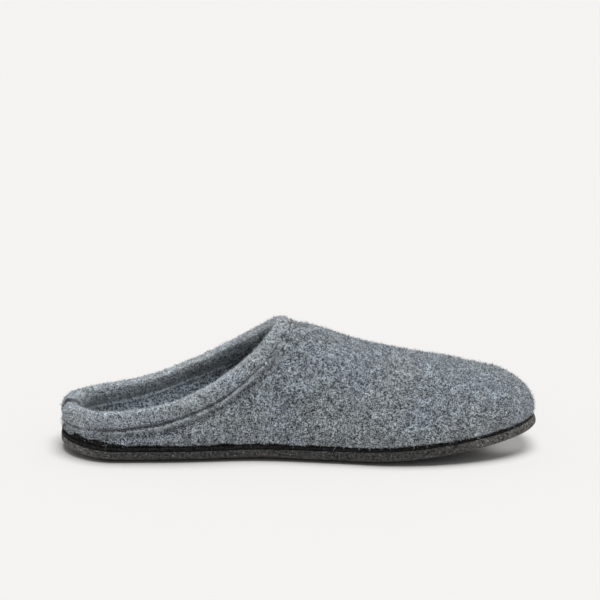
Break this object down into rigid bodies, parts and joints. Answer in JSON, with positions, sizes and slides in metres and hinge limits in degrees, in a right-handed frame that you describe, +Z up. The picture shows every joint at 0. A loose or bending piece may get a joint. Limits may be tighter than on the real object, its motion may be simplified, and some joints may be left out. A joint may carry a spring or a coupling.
{
  "type": "felt slipper",
  "caption": "Boiled-wool felt mule slipper with a folded felt collar band, closed toe, low open heel and a thin rubber sole with toe spring.",
  "frame": {"origin": "on the floor under the middle of the slipper's box", "axes": "+X from the heel to the toe, +Y from the inner side of the foot to the outer side, +Z up"},
  "size_m": [0.2806, 0.0978, 0.0771],
  "materials": {
    "outsole_rubber": "matt, speckled with light crumbs",
    "black_layer": "matt black, fuzzy at its upper edge",
    "insole_felt": "flat wool felt",
    "upper_felt": "heathered boiled wool with a short nap",
    "band_felt": "heathered boiled wool, rolled and stitched"
  },
  "bodies": {
    "root": {"outsole": "outsole_rubber", "midsole": "black_layer", "insole": "insole_felt", "upper": "upper_felt", "collar_band": "band_felt"}
  },
  "joints": []
}
